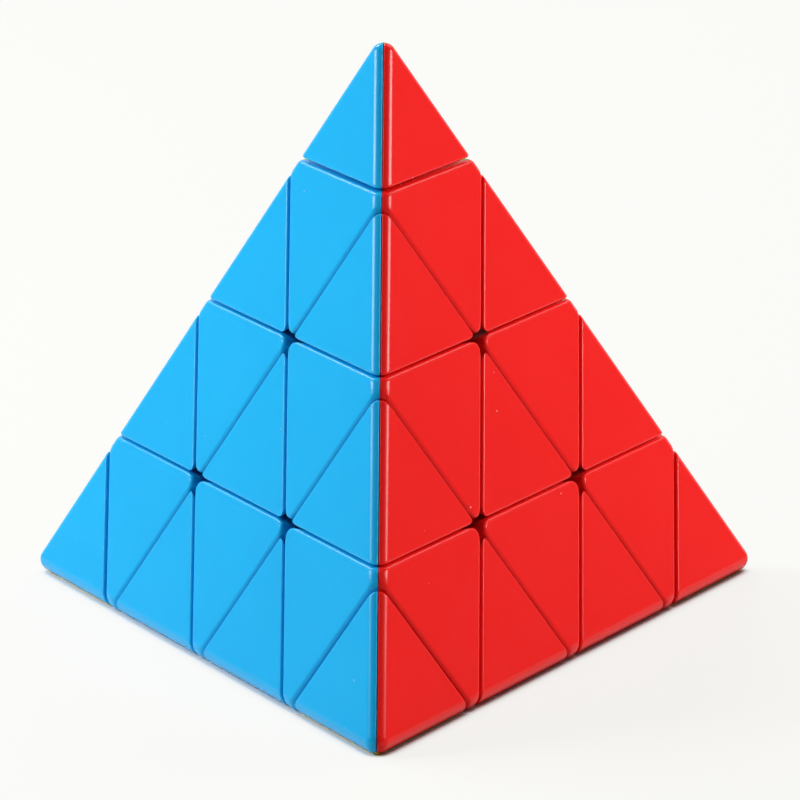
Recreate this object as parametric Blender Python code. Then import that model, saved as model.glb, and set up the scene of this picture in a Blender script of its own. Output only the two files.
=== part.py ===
"""Four-layer pyramid twisty puzzle, built piece by piece around a ball core.

Metres, +Z up. The pyramid stands on its yellow face at z = 0 with the front corner
towards -Y, and every piece keeps its origin at the puzzle's centre, on its own axis.
"""

import math
from itertools import combinations_with_replacement

import bmesh
import bpy
from mathutils import Matrix, Vector

# Driving dimensions
TILE = 0.02382
TRUNCATION = 0.0009
GAP = 0.0004
EDGE_ROUND = 0.00152
CORNER_ROUND = 0.0012
SEAM_CHAMFER = 0.0005
SCREW_RADIUS = 0.0013
SPRING_WIRE = 0.00045
SPRING_TURNS = 4

# Layer cuts, measured from the centre along each corner axis
RISE = math.sqrt(2.0 / 3.0)
SIDE = math.sqrt(8.0) / 3.0
FACE = RISE * (TILE + 0.75 * TRUNCATION)
APEX = 3.0 * FACE
CUT_TIP = RISE * (2.0 * TILE + 2.25 * TRUNCATION)
CUT_CORNER = RISE * (TILE + 1.25 * TRUNCATION)
CUT_DEEP = RISE * 0.25 * TRUNCATION
HALF = GAP / 2.0

# Core and the sliding tabs that run on it
CORE_RADIUS = 0.585 * CUT_CORNER
TAB_INNER = CORE_RADIUS + 1.5 * GAP
TAB_OUTER = 0.765 * CUT_CORNER
TAB_ROOF = TAB_OUTER + GAP
TAB_REACH = 0.07 * CUT_CORNER
POST_RADIUS = (CORE_RADIUS / 3.0 - TAB_REACH - HALF) / SIDE - 0.25 * GAP
POST_TOP = 0.96 * CUT_CORNER
BORE_BOTTOM = 0.36 * CUT_CORNER

# Circular pocket about each corner axis that the wing feet hook into
POCKET_FLOOR = TAB_ROOF + GAP
POCKET_LIP = 0.916 * CUT_CORNER
POCKET_MOUTH = 0.52 * CUT_CORNER
POCKET_UNDERCUT = 0.605 * CUT_CORNER

# Stack of pieces up each corner axis
HUB_FLOOR = POST_TOP + GAP
SPRING_SEAT = 1.087 * CUT_CORNER
WASHER_UNDER = 1.42 * CUT_CORNER
WASHER_THICK = 0.033 * CUT_CORNER
HEAD_UNDER = WASHER_UNDER + WASHER_THICK + 0.75 * GAP
HEAD_TOP = HEAD_UNDER + 0.105 * CUT_CORNER
HUB_TOP = 1.7 * CUT_CORNER
HUB_RADIUS = 0.265 * CUT_CORNER
CHAMBER_RADIUS = 0.208 * CUT_CORNER
CAP_UNDER = HUB_TOP + 2.5 * GAP
CAP_TOP = CUT_TIP - 1.5 * GAP
CAP_RADIUS = 0.24 * (APEX - CUT_TIP)
STEM_RADIUS = 0.45 * CAP_RADIUS
SNAP_TOP = CAP_UNDER - GAP
SNAP_UNDER = SNAP_TOP - 0.09 * CUT_CORNER
STEM_TOP = CUT_TIP + 0.29 * (APEX - CUT_TIP)

# Corner axes from the centre, and the face colour opposite each corner
AXES = {
    "top": Vector((0.0, 0.0, 1.0)),
    "front": Vector((0.0, -SIDE, -1.0 / 3.0)),
    "left": Vector((-RISE, SIDE / 2.0, -1.0 / 3.0)),
    "right": Vector((RISE, SIDE / 2.0, -1.0 / 3.0)),
}
CORNERS = tuple(AXES)
FACE_COLOURS = {"right": "blue", "left": "red", "front": "green", "top": "yellow"}

for old in list(bpy.data.objects):
    bpy.data.objects.remove(old, do_unlink=True)


def make_material(name, colour, roughness, metallic):
    """Principled material with a plain colour."""
    material = bpy.data.materials.new(name)
    material.use_nodes = True
    shader = material.node_tree.nodes["Principled BSDF"]
    shader.inputs["Base Color"].default_value = (*colour, 1.0)
    shader.inputs["Roughness"].default_value = roughness
    shader.inputs["Metallic"].default_value = metallic
    material.diffuse_color = (*colour, 1.0)
    return material


PLASTIC = {
    "right": make_material("blue_plastic", (0.02, 0.42, 0.86), 0.35, 0.0),
    "left": make_material("red_plastic", (0.86, 0.025, 0.02), 0.35, 0.0),
    "front": make_material("green_plastic", (0.04, 0.55, 0.09), 0.35, 0.0),
    "top": make_material("yellow_plastic", (0.9, 0.75, 0.04), 0.35, 0.0),
}
CORE_PLASTIC = make_material("core_plastic", (0.05, 0.05, 0.055), 0.45, 0.0)
STEEL = make_material("steel", (0.6, 0.6, 0.62), 0.3, 1.0)


def rounded_pyramid():
    """Whole pyramid with rounded edges and corners, faces marked as outside."""
    bm = bmesh.new()
    inset = 1.0 - EDGE_ROUND / FACE
    for corner in CORNERS:
        vertex = AXES[corner] * APEX * inset
        normals = [-AXES[name] for name in CORNERS if name != corner]
        blends = [AXES[corner]]
        for mix in combinations_with_replacement(normals, 4):
            blends.append(sum(mix, Vector()).normalized())
        for blend in blends:
            bm.verts.new(vertex + blend * EDGE_ROUND)
    bmesh.ops.remove_doubles(bm, verts=bm.verts, dist=1e-7)
    hull = bmesh.ops.convex_hull(bm, input=bm.verts)
    spare = {item for item in hull["geom_interior"] if isinstance(item, bmesh.types.BMVert)}
    bmesh.ops.delete(bm, geom=list(spare), context="VERTS")
    bmesh.ops.dissolve_limit(bm, angle_limit=0.02, verts=bm.verts, edges=bm.edges)
    outside = bm.faces.layers.int.new("outside")
    for face in bm.faces:
        face[outside] = 1
    return bm


def keep_below(bm, normal, distance):
    """Cut away everything past a plane and close the cut with one face."""
    geometry = bm.verts[:] + bm.edges[:] + bm.faces[:]
    cut = bmesh.ops.bisect_plane(
        bm,
        geom=geometry,
        dist=1e-8,
        plane_co=normal * distance,
        plane_no=normal,
        clear_outer=True,
    )
    rim = [item for item in cut["geom_cut"] if isinstance(item, bmesh.types.BMEdge)]
    if rim:
        bmesh.ops.holes_fill(bm, edges=rim, sides=0)
    bmesh.ops.recalc_face_normals(bm, faces=bm.faces)


def keep_above(bm, normal, distance):
    """Cut away everything short of a plane and close the cut with one face."""
    keep_below(bm, -normal, -distance)


def round_corner(bm, face, sides):
    """Round one tile corner of a face with short flats, where two cuts meet."""
    outward = -AXES[face]
    planes = Matrix((outward, AXES[sides[0][0]], AXES[sides[1][0]]))
    corner = planes.inverted() @ Vector((FACE, sides[0][1], sides[1][1]))
    ahead = AXES[sides[0][0]] + AXES[sides[1][0]]
    ahead = (ahead - outward * ahead.dot(outward)).normalized()
    across = outward.cross(ahead)
    centre = corner - ahead * 2.0 * CORNER_ROUND
    for angle in (-math.pi / 6.0, 0.0, math.pi / 6.0):
        normal = ahead * math.cos(angle) + across * math.sin(angle)
        keep_below(bm, normal, normal.dot(centre) + CORNER_ROUND)


def soften(bm, round_inner):
    """Round the inner edges if asked, then chamfer every seam with the outside."""
    outside = bm.faces.layers.int["outside"]
    if round_inner:
        inner = [edge for edge in bm.edges if all(not face[outside] for face in edge.link_faces)]
        bmesh.ops.bevel(
            bm,
            geom=inner,
            offset=CORNER_ROUND * math.sqrt(2.0),
            offset_type="OFFSET",
            segments=2,
            profile=0.5,
            affect="EDGES",
            clamp_overlap=True,
        )
    seams = [edge for edge in bm.edges if len({face[outside] for face in edge.link_faces}) == 2]
    bmesh.ops.bevel(
        bm,
        geom=seams,
        offset=SEAM_CHAMFER,
        offset_type="OFFSET",
        segments=1,
        profile=0.5,
        affect="EDGES",
        clamp_overlap=True,
    )
    bmesh.ops.remove_doubles(bm, verts=bm.verts, dist=2e-6)
    bmesh.ops.dissolve_degenerate(bm, edges=bm.edges, dist=2e-6)


def finish_mesh(bm, name):
    """Turn a bmesh into a mesh with triangles facing out."""
    bmesh.ops.triangulate(bm, faces=bm.faces)
    bmesh.ops.recalc_face_normals(bm, faces=bm.faces)
    mesh = bpy.data.meshes.new(name)
    bm.to_mesh(mesh)
    bm.free()
    return mesh


def lathe(profile, segments):
    """Solid of revolution about +Z from a closed outline of radius and height."""
    bm = bmesh.new()
    ring = [bm.verts.new((radius, 0.0, height)) for radius, height in profile]
    edges = [bm.edges.new((ring[i - 1], ring[i])) for i in range(len(ring))]
    edges = [edge for edge in edges if max(abs(vert.co.x) for vert in edge.verts) > 1e-9]
    for edge in bm.edges[:]:
        if edge not in edges:
            bm.edges.remove(edge)
    bmesh.ops.spin(
        bm,
        geom=ring + edges,
        axis=(0.0, 0.0, 1.0),
        cent=(0.0, 0.0, 0.0),
        steps=segments,
        angle=2.0 * math.pi,
        use_merge=True,
    )
    bmesh.ops.remove_doubles(bm, verts=bm.verts, dist=1e-7)
    bmesh.ops.recalc_face_normals(bm, faces=bm.faces)
    return bm


def ball(radius):
    """Sphere about the centre."""
    bm = bmesh.new()
    bmesh.ops.create_icosphere(bm, subdivisions=3, radius=radius)
    return bm


def combine(mesh, other, operation, solver="EXACT"):
    """Boolean of two meshes, baked into a new mesh."""
    target = bpy.data.objects.new("target", mesh)
    tool = bpy.data.objects.new("tool", other)
    for item in (target, tool):
        bpy.context.scene.collection.objects.link(item)
    modifier = target.modifiers.new("combine", "BOOLEAN")
    modifier.operation = operation
    modifier.solver = solver
    modifier.object = tool
    graph = bpy.context.evaluated_depsgraph_get()
    baked = bpy.data.meshes.new_from_object(target.evaluated_get(graph))
    baked.name = mesh.name
    bpy.data.objects.remove(target)
    bpy.data.objects.remove(tool)
    return baked


def turned(axis):
    """Rotation that takes the top axis to another corner axis within the symmetry."""
    second = next(name for name in CORNERS if name != axis)
    return symmetry(axis, second)


def ordered(first, second):
    """Corner order that starts with the two given and keeps the puzzle's handedness."""
    rest = [name for name in CORNERS if name not in (first, second)]
    start = AXES["top"].cross(AXES["front"]).dot(AXES["left"])
    if AXES[first].cross(AXES[second]).dot(AXES[rest[0]]) * start < 0.0:
        rest.reverse()
    return first, second, rest[0], rest[1]


def symmetry(first, second):
    """Rotation that takes the top and front axes to the two given."""
    order = ordered(first, second)
    source = Matrix([AXES[name] for name in CORNERS[:3]]).transposed()
    target = Matrix([AXES[name] for name in order[:3]]).transposed()
    return (target @ source.inverted()).to_4x4()


def pocket(axis):
    """Cutter for the circular pocket about one corner axis."""
    top = CUT_CORNER + GAP
    profile = (
        (0.0, POCKET_FLOOR),
        (POCKET_UNDERCUT, POCKET_FLOOR),
        (POCKET_UNDERCUT, POCKET_LIP),
        (POCKET_MOUTH, POCKET_LIP),
        (POCKET_MOUTH, top),
        (0.0, top),
    )
    mesh = finish_mesh(lathe(profile, 32), "pocket")
    mesh.transform(turned(axis))
    return mesh


def tab(inside, outside):
    """Curved tab that slides on the core, bounded by the shifted deep cuts."""
    bm = ball(TAB_OUTER)
    for name in inside:
        keep_above(bm, AXES[name], HALF - TAB_REACH)
    for name in outside:
        keep_below(bm, AXES[name], -HALF - TAB_REACH)
    mesh = finish_mesh(bm, "tab")
    return combine(mesh, finish_mesh(ball(TAB_INNER), "ball"), "DIFFERENCE")


def build_tip():
    """Corner tip with a blind socket for its spindle."""
    bm = rounded_pyramid()
    keep_above(bm, AXES["top"], CUT_TIP + HALF)
    soften(bm, False)
    mesh = finish_mesh(bm, "tip")
    radius = STEM_RADIUS + GAP
    bottom = CUT_TIP - GAP
    top = STEM_TOP + GAP
    profile = ((0.0, bottom), (radius, bottom), (radius, top), (0.0, top))
    return combine(mesh, finish_mesh(lathe(profile, 20), "socket"), "DIFFERENCE")


def build_tip_spindle():
    """Snap pin that holds a tip and lets it spin."""
    head = CAP_RADIUS * 0.72
    neck = head * 0.8
    profile = (
        (0.0, SNAP_UNDER),
        (neck, SNAP_UNDER),
        (head, SNAP_UNDER + 0.6 * (SNAP_TOP - SNAP_UNDER)),
        (head, SNAP_TOP),
        (STEM_RADIUS, SNAP_TOP),
        (STEM_RADIUS, STEM_TOP),
        (0.0, STEM_TOP),
    )
    return finish_mesh(lathe(profile, 20), "tip_spindle")


def build_axial():
    """Octahedral piece under a tip, bored through for its hub and cap."""
    bm = rounded_pyramid()
    keep_above(bm, AXES["top"], CUT_CORNER + HALF)
    keep_below(bm, AXES["top"], CUT_TIP - HALF)
    for name in CORNERS[1:]:
        keep_below(bm, AXES[name], CUT_DEEP - HALF)
    for face in CORNERS[1:]:
        round_corner(bm, face, [(name, CUT_DEEP - HALF) for name in CORNERS[1:] if name != face])
    soften(bm, False)
    mesh = finish_mesh(bm, "axial")
    wide = HUB_RADIUS + GAP
    narrow = CAP_RADIUS + GAP
    step = HUB_TOP + GAP
    bottom = CUT_CORNER - GAP
    top = CUT_TIP + GAP
    profile = ((0.0, bottom), (wide, bottom), (wide, step), (narrow, step), (narrow, top), (0.0, top))
    return combine(mesh, finish_mesh(lathe(profile, 24), "bore"), "DIFFERENCE")


def build_axial_hub():
    """Turned foot under an axial that holds the tabs down and seats the spring."""
    bore = POST_RADIUS + GAP
    screw = SCREW_RADIUS + GAP
    low = TAB_ROOF * 0.942
    rim_low = (low / 3.0 + CUT_DEEP - HALF) / SIDE - HALF
    high = CUT_CORNER - 0.7 * GAP
    rim_high = (high / 3.0 + CUT_DEEP - HALF) / SIDE - HALF
    inner = math.sqrt(TAB_ROOF ** 2 - bore ** 2) + 0.25 * GAP
    profile = (
        (bore, inner),
        (rim_low, low),
        (rim_high, high),
        (HUB_RADIUS, high),
        (HUB_RADIUS, HUB_TOP),
        (CHAMBER_RADIUS, HUB_TOP),
        (CHAMBER_RADIUS, SPRING_SEAT),
        (screw, SPRING_SEAT),
        (screw, HUB_FLOOR),
        (bore, HUB_FLOOR),
    )
    return finish_mesh(lathe(profile, 24), "axial_hub")


def build_axial_cap():
    """Ring in the top of an axial that the tip spindle snaps under."""
    bore = STEM_RADIUS + GAP
    profile = ((bore, CAP_UNDER), (CAP_RADIUS, CAP_UNDER), (CAP_RADIUS, CAP_TOP), (bore, CAP_TOP))
    return finish_mesh(lathe(profile, 20), "axial_cap")


def build_screw():
    """Tension screw with a cross recess."""
    head = 0.155 * CUT_CORNER
    bottom = BORE_BOTTOM + GAP
    profile = (
        (0.0, bottom),
        (SCREW_RADIUS * 0.5, bottom),
        (SCREW_RADIUS, bottom + SCREW_RADIUS),
        (SCREW_RADIUS, HEAD_UNDER),
        (head, HEAD_UNDER),
        (head, HEAD_UNDER + 0.6 * (HEAD_TOP - HEAD_UNDER)),
        (head * 0.8, HEAD_TOP),
        (0.0, HEAD_TOP),
    )
    mesh = finish_mesh(lathe(profile, 16), "screw")
    depth = 0.5 * (HEAD_TOP - HEAD_UNDER)
    for swap in (False, True):
        bm = bmesh.new()
        length = head * 1.1
        width = head * 0.26
        size = (width, length, 2.0 * depth) if swap else (length, width, 2.0 * depth)
        place = Matrix.Translation((0.0, 0.0, HEAD_TOP)) @ Matrix.Diagonal((*size, 1.0))
        bmesh.ops.create_cube(bm, size=1.0, matrix=place)
        mesh = combine(mesh, finish_mesh(bm, "slot"), "DIFFERENCE")
    return mesh


def build_washer():
    """Flat washer between screw head and spring."""
    bore = SCREW_RADIUS + GAP
    rim = CHAMBER_RADIUS - GAP
    top = WASHER_UNDER + WASHER_THICK
    profile = ((bore, WASHER_UNDER), (rim, WASHER_UNDER), (rim, top), (bore, top))
    return finish_mesh(lathe(profile, 20), "washer")


def build_spring():
    """Compression spring, a round wire wound round the screw."""
    bm = bmesh.new()
    radius = CHAMBER_RADIUS - 1.5 * GAP - SPRING_WIRE
    start = SPRING_SEAT + SPRING_WIRE + 0.75 * GAP
    end = WASHER_UNDER - SPRING_WIRE - 0.75 * GAP
    steps = 12 * SPRING_TURNS
    lead = (end - start) / (2.0 * math.pi * SPRING_TURNS)
    previous = None
    for i in range(steps + 1):
        angle = 2.0 * math.pi * SPRING_TURNS * i / steps
        outward = Vector((math.cos(angle), math.sin(angle), 0.0))
        along = Vector((-radius * outward.y, radius * outward.x, lead)).normalized()
        across = along.cross(outward)
        centre = outward * radius + Vector((0.0, 0.0, start + lead * angle))
        ring = []
        for j in range(6):
            turn = 2.0 * math.pi * j / 6
            offset = outward * math.cos(turn) + across * math.sin(turn)
            ring.append(bm.verts.new(centre + offset * SPRING_WIRE))
        if previous is None:
            bm.faces.new(ring)
        else:
            for j in range(6):
                bm.faces.new((previous[j - 1], previous[j], ring[j], ring[j - 1]))
        previous = ring
    bm.faces.new(previous)
    return finish_mesh(bm, "spring")


def build_wing():
    """Wing on the edge from top to front, with the foot that hooks in the pocket."""
    bm = rounded_pyramid()
    keep_above(bm, AXES["top"], CUT_CORNER + HALF)
    keep_above(bm, AXES["front"], CUT_DEEP + HALF)
    soften(bm, True)
    mesh = finish_mesh(bm, "wing")
    hook = POCKET_UNDERCUT - GAP
    neck = POCKET_MOUTH - GAP
    bottom = POCKET_FLOOR + GAP
    ledge = POCKET_LIP - GAP
    top = CUT_CORNER + 4.0 * GAP
    profile = ((0.0, bottom), (hook, bottom), (hook, ledge), (neck, ledge), (neck, top), (0.0, top))
    foot = lathe(profile, 40)
    keep_above(foot, AXES["front"], CUT_DEEP + 1.5 * HALF)
    return combine(mesh, finish_mesh(foot, "foot"), "UNION")


def build_mid_edge():
    """Mid-edge piece between top and front, with its tab and two pockets."""
    bm = rounded_pyramid()
    for name in CORNERS[:2]:
        keep_above(bm, AXES[name], CUT_DEEP + HALF)
        keep_below(bm, AXES[name], CUT_CORNER - HALF)
    for name in CORNERS[2:]:
        keep_below(bm, AXES[name], CUT_DEEP - HALF)
    for face, other in (CORNERS[2:], CORNERS[:1:-1]):
        for name in CORNERS[:2]:
            round_corner(bm, face, [(name, CUT_CORNER - HALF), (other, CUT_DEEP - HALF)])
    soften(bm, False)
    inward = (AXES["top"] + AXES["front"]).normalized()
    keep_above(bm, inward, TAB_ROOF * 0.865)
    mesh = finish_mesh(bm, "mid_edge")
    mesh = combine(mesh, tab(CORNERS[:2], CORNERS[2:]), "UNION")
    for name in CORNERS[:2]:
        mesh = combine(mesh, pocket(name), "DIFFERENCE")
    return mesh


def build_centre():
    """Face centre opposite the right corner, with its tab and three pockets."""
    bm = rounded_pyramid()
    for name in CORNERS[:3]:
        keep_above(bm, AXES[name], CUT_DEEP + HALF)
    soften(bm, True)
    keep_above(bm, -AXES["right"], TAB_INNER + GAP)
    mesh = finish_mesh(bm, "centre")
    mesh = combine(mesh, tab(CORNERS[:3], ()), "UNION")
    for name in CORNERS[:3]:
        mesh = combine(mesh, pocket(name), "DIFFERENCE")
    return mesh


def build_core():
    """Ball core with four bored posts."""
    mesh = finish_mesh(ball(CORE_RADIUS), "core")
    post = ((0.0, 0.0), (POST_RADIUS, 0.0), (POST_RADIUS, POST_TOP), (0.0, POST_TOP))
    radius = SCREW_RADIUS + GAP
    top = POST_TOP + GAP
    bore = ((0.0, BORE_BOTTOM), (radius, BORE_BOTTOM), (radius, top), (0.0, top))
    for name in CORNERS:
        arm = finish_mesh(lathe(post, 16), "post")
        arm.transform(turned(name))
        mesh = combine(mesh, arm, "UNION", "MANIFOLD")
    for name in CORNERS:
        hole = finish_mesh(lathe(bore, 16), "bore")
        hole.transform(turned(name))
        mesh = combine(mesh, hole, "DIFFERENCE", "MANIFOLD")
    return mesh


def tidy(mesh):
    """Merge boolean slivers and shade the round parts smooth."""
    bm = bmesh.new()
    bm.from_mesh(mesh)
    bmesh.ops.remove_doubles(bm, verts=bm.verts, dist=2e-6)
    bmesh.ops.dissolve_degenerate(bm, edges=bm.edges, dist=2e-6)
    bmesh.ops.dissolve_limit(bm, angle_limit=0.002, verts=bm.verts, edges=bm.edges)
    bmesh.ops.triangulate(bm, faces=bm.faces)
    bmesh.ops.recalc_face_normals(bm, faces=bm.faces)
    bm.to_mesh(mesh)
    bm.free()
    mesh.shade_smooth()
    mesh.set_sharp_from_angle(angle=math.radians(32.0))


def colour_faces(mesh, faces):
    """Mark each triangle with the index of the nearest of the given outer faces."""
    for polygon in mesh.polygons:
        reach = [-AXES[name].dot(polygon.center) for name in faces]
        polygon.material_index = reach.index(max(reach))


def place(name, mesh, rotation, materials):
    """Put one copy of a piece in the scene with its own materials."""
    item = bpy.data.objects.new(name, mesh)
    bpy.context.scene.collection.objects.link(item)
    item.rotation_mode = "QUATERNION"
    item.rotation_quaternion = rotation.to_quaternion()
    item.location = (0.0, 0.0, FACE)
    for i, material in enumerate(materials):
        item.material_slots[i].link = "OBJECT"
        item.material_slots[i].material = material


def prepared(mesh, faces):
    """Tidied piece with one material slot for each outer face it shows."""
    tidy(mesh)
    mesh.materials.clear()
    for _ in range(max(1, len(faces))):
        mesh.materials.append(None)
    if faces:
        colour_faces(mesh, faces)
    return mesh


def build_puzzle():
    """Build each kind of piece once and place every copy."""
    place("core", prepared(build_core(), ()), Matrix.Identity(4), (CORE_PLASTIC,))
    sides = CORNERS[1:]
    shown = {
        "tip": prepared(build_tip(), sides),
        "axial": prepared(build_axial(), sides),
    }
    hidden = {
        "tip_spindle": (prepared(build_tip_spindle(), ()), CORE_PLASTIC),
        "axial_hub": (prepared(build_axial_hub(), ()), CORE_PLASTIC),
        "axial_cap": (prepared(build_axial_cap(), ()), CORE_PLASTIC),
        "screw": (prepared(build_screw(), ()), STEEL),
        "washer": (prepared(build_washer(), ()), STEEL),
        "spring": (prepared(build_spring(), ()), STEEL),
    }
    for corner in CORNERS:
        second = next(name for name in CORNERS if name != corner)
        order = ordered(corner, second)
        colours = [PLASTIC[name] for name in order[1:]]
        for kind, mesh in shown.items():
            place(f"{kind}_{corner}", mesh, symmetry(corner, second), colours)
        for kind, (mesh, material) in hidden.items():
            place(f"{kind}_{corner}", mesh, symmetry(corner, second), (material,))
    wing = prepared(build_wing(), CORNERS[2:])
    mid_edge = prepared(build_mid_edge(), CORNERS[2:])
    centre = prepared(build_centre(), ("right",))
    for i, first in enumerate(CORNERS):
        for j, second in enumerate(CORNERS):
            if i == j:
                continue
            order = ordered(first, second)
            colours = [PLASTIC[name] for name in order[2:]]
            turn = symmetry(first, second)
            place(f"wing_{first}_{second}", wing, turn, colours)
            if i < j:
                place(f"mid_edge_{first}_{second}", mid_edge, turn, colours)
    for corner in CORNERS:
        others = [name for name in CORNERS if name != corner]
        order = ordered(others[0], others[1])
        if order[3] != corner:
            order = ordered(others[1], others[0])
        turn = symmetry(order[0], order[1])
        place(f"centre_{FACE_COLOURS[corner]}", centre, turn, (PLASTIC[corner],))


build_puzzle()
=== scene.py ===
"""Dressed four-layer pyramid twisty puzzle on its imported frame, in metres, +Z up."""

import logging
import math
from dataclasses import dataclass, field
from enum import Enum
from typing import Sequence

import bmesh
import bpy
from mathutils import Euler, Matrix, Vector


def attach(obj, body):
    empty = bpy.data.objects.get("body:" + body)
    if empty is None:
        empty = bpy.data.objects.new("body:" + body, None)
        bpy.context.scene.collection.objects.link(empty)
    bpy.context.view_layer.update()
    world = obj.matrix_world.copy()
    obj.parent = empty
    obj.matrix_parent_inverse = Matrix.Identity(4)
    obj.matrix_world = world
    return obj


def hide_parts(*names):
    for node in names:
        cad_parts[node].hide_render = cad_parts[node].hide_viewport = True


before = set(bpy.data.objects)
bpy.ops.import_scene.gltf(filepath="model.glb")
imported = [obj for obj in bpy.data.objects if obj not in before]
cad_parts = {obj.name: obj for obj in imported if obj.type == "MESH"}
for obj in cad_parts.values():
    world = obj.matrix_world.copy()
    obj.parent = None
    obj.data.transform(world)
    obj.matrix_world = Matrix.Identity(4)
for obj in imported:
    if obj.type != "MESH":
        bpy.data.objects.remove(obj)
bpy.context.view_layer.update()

log = logging.getLogger("pyramid_puzzle")

RISE = math.sqrt(2.0 / 3.0)
SIDE = math.sqrt(8.0) / 3.0
WELD = 1e-7
CLEAN = 1e-6
PLANE_SLACK = 1e-8
AXIS_SLACK = 1e-9
FLAT_ANGLE = 0.02
BEVEL_ANGLE = math.radians(35.0)
SMOOTH_ANGLE = math.radians(38.0)
TILE_CORNER = math.radians(60.0)
ROUND_DEPTH = 4
BALL_DEPTH = 4


class Corner(Enum):
    """The four corners of the pyramid, by where they point."""

    TOP = "top"
    FRONT = "front"
    LEFT = "left"
    RIGHT = "right"

    @property
    def axis(self) -> Vector:
        """Unit vector from the puzzle's centre to this corner."""
        return AXES[self].copy()


AXES: dict[Corner, Vector] = {
    Corner.TOP: Vector((0.0, 0.0, 1.0)),
    Corner.FRONT: Vector((0.0, -SIDE, -1.0 / 3.0)),
    Corner.LEFT: Vector((-RISE, SIDE / 2.0, -1.0 / 3.0)),
    Corner.RIGHT: Vector((RISE, SIDE / 2.0, -1.0 / 3.0)),
}
CORNERS: tuple[Corner, ...] = tuple(Corner)


class FaceColour(Enum):
    """Plastic colour of each face, named with the corner that the face lies opposite."""

    BLUE = Corner.RIGHT
    RED = Corner.LEFT
    GREEN = Corner.FRONT
    YELLOW = Corner.TOP

    @property
    def word(self) -> str:
        """Colour word used in piece and slot names."""
        return self.name.lower()

    @property
    def slot(self) -> str:
        """Record slot of this colour's plastic."""
        return f"{self.word}_plastic"


class Surface(Enum):
    """What a mesh face of a shell is: skin, layer cut or parting line between shells."""

    CUT = 0
    SKIN = 1
    PARTING = 2


@dataclass(frozen=True)
class Layout:
    """Sizes of the puzzle and the places of its layer cuts, from the centre outwards."""

    tile: float = 0.02382
    truncation: float = 0.0009
    gap: float = 0.0004
    seam: float = 0.00024
    tip_seam: float = 0.00042
    edge_round: float = 0.0016
    corner_round: float = 0.0012
    seam_round: float = 0.0005
    parting_gap: float = 0.00003
    parting_round: float = 0.0002
    base_wrap: float = 0.00095
    tip_wrap: float = 0.0007
    core_share: float = 0.585
    tab_share: float = 0.765
    tab_reach_share: float = 0.07
    lip_share: float = 0.916
    mouth_share: float = 0.52
    undercut_share: float = 0.605
    hub_top_share: float = 1.7
    hub_share: float = 0.265
    cap_share: float = 0.24
    stem_share: float = 0.45
    stem_top_share: float = 0.29

    @property
    def face(self) -> float:
        """Distance from the centre to each face, which is also the centre's height."""
        return RISE * (self.tile + 0.75 * self.truncation)

    @property
    def apex(self) -> float:
        """Distance from the centre to each sharp corner."""
        return 3.0 * self.face

    @property
    def cut_tip(self) -> float:
        """Cut under a tip."""
        return RISE * (2.0 * self.tile + 2.25 * self.truncation)

    @property
    def cut_corner(self) -> float:
        """Cut under a corner layer."""
        return RISE * (self.tile + 1.25 * self.truncation)

    @property
    def cut_deep(self) -> float:
        """Cut under a deep layer."""
        return RISE * 0.25 * self.truncation

    @property
    def half(self) -> float:
        """Half of the running gap between inner parts."""
        return self.gap / 2.0

    @property
    def seam_half(self) -> float:
        """Half of the gap between the tiles of two layers."""
        return self.seam / 2.0

    @property
    def tip_half(self) -> float:
        """Half of the wider gap under each tip."""
        return self.tip_seam / 2.0

    @property
    def core_radius(self) -> float:
        """Radius of the ball core."""
        return self.core_share * self.cut_corner

    @property
    def tab_inner(self) -> float:
        """Inner radius of the tabs that slide on the core."""
        return self.core_radius + 1.5 * self.gap

    @property
    def tab_outer(self) -> float:
        """Outer radius of the tabs."""
        return self.tab_share * self.cut_corner

    @property
    def tab_roof(self) -> float:
        """Radius beyond which pieces clear the tabs below them."""
        return self.tab_outer + self.gap

    @property
    def tab_reach(self) -> float:
        """How far a tab reaches past the centre planes."""
        return self.tab_reach_share * self.cut_corner

    @property
    def pocket_floor(self) -> float:
        """Floor of the circular pocket about a corner axis."""
        return self.tab_roof + self.gap

    @property
    def pocket_lip(self) -> float:
        """Underside of the pocket's lip."""
        return self.lip_share * self.cut_corner

    @property
    def pocket_mouth(self) -> float:
        """Radius of the pocket's mouth."""
        return self.mouth_share * self.cut_corner

    @property
    def pocket_undercut(self) -> float:
        """Radius of the pocket under its lip."""
        return self.undercut_share * self.cut_corner

    @property
    def hub_top(self) -> float:
        """Top of an axial's hub."""
        return self.hub_top_share * self.cut_corner

    @property
    def hub_radius(self) -> float:
        """Outer radius of a hub's tube."""
        return self.hub_share * self.cut_corner

    @property
    def cap_radius(self) -> float:
        """Outer radius of the ring in the top of an axial."""
        return self.cap_share * (self.apex - self.cut_tip)

    @property
    def stem_radius(self) -> float:
        """Radius of a tip's spindle."""
        return self.stem_share * self.cap_radius

    @property
    def stem_top(self) -> float:
        """End of a tip's spindle inside the tip."""
        return self.cut_tip + self.stem_top_share * (self.apex - self.cut_tip)


LAYOUT = Layout()


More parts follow.
